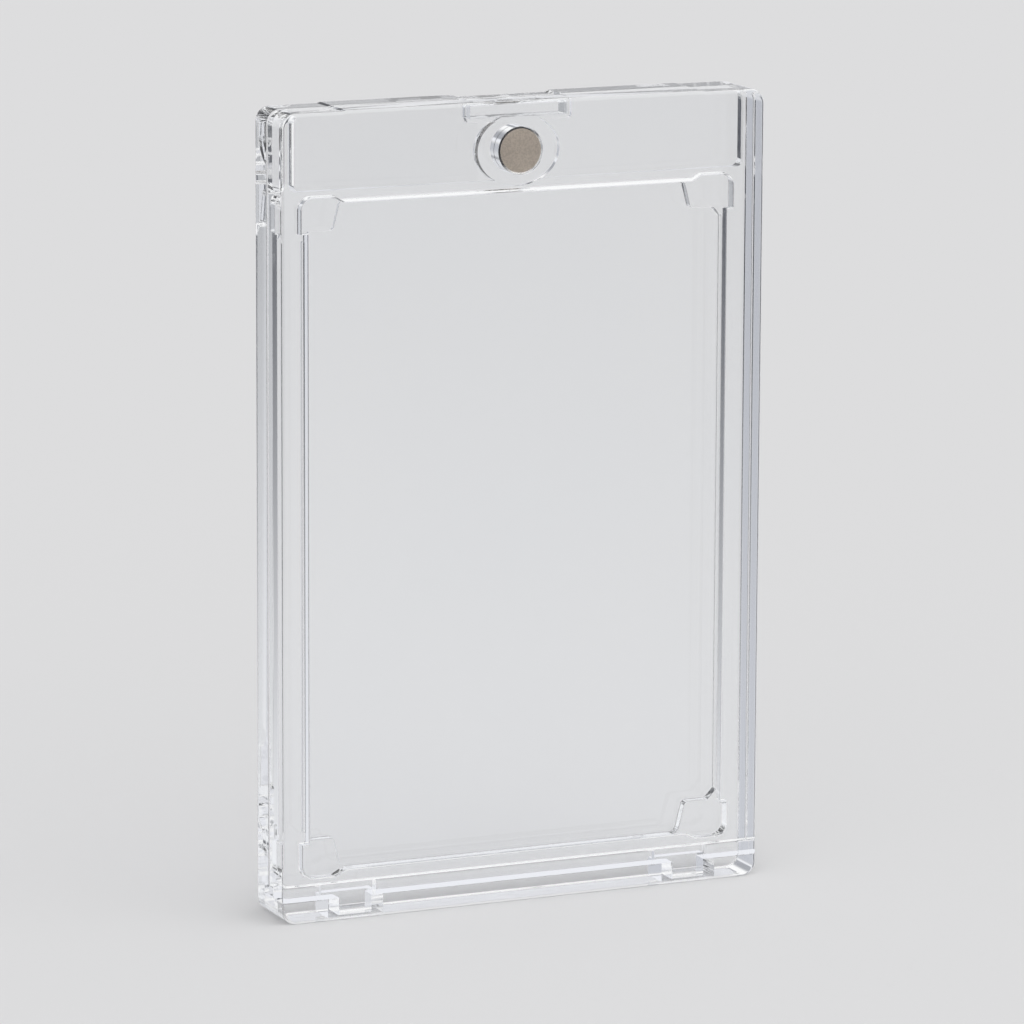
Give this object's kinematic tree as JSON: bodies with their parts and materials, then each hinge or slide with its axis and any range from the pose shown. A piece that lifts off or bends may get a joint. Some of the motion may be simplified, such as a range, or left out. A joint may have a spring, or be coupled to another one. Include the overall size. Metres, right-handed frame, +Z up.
{
  "type": "trading card display case",
  "caption": "Clear upright display case for a trading card: front cover tips forward off a back cover and is held shut by disc magnets.",
  "frame": {"origin": "middle of the underside of the closed case, halfway through its depth", "axes": "+X to the right seen from the front, +Y from the front face to the back face, +Z up; the case faces -Y"},
  "size_m": [0.08, 0.0106, 0.1245],
  "materials": {
    "clear_plastic": "water clear, polished",
    "nickel": "satin nickel plate"
  },
  "bodies": {
    "back_half": {"back_cover": "clear_plastic", "back_magnet": "nickel"},
    "front_half": {"front_cover": "clear_plastic", "front_magnet": "nickel"}
  },
  "joints": [
    {"name": "front_cover_tilt", "type": "hinge", "parent": "back_half", "child": "front_half", "pos_m": [0, -0.00532, 0.0035], "axis": [1, 0, 0], "range_deg": [0, 90]}
  ]
}
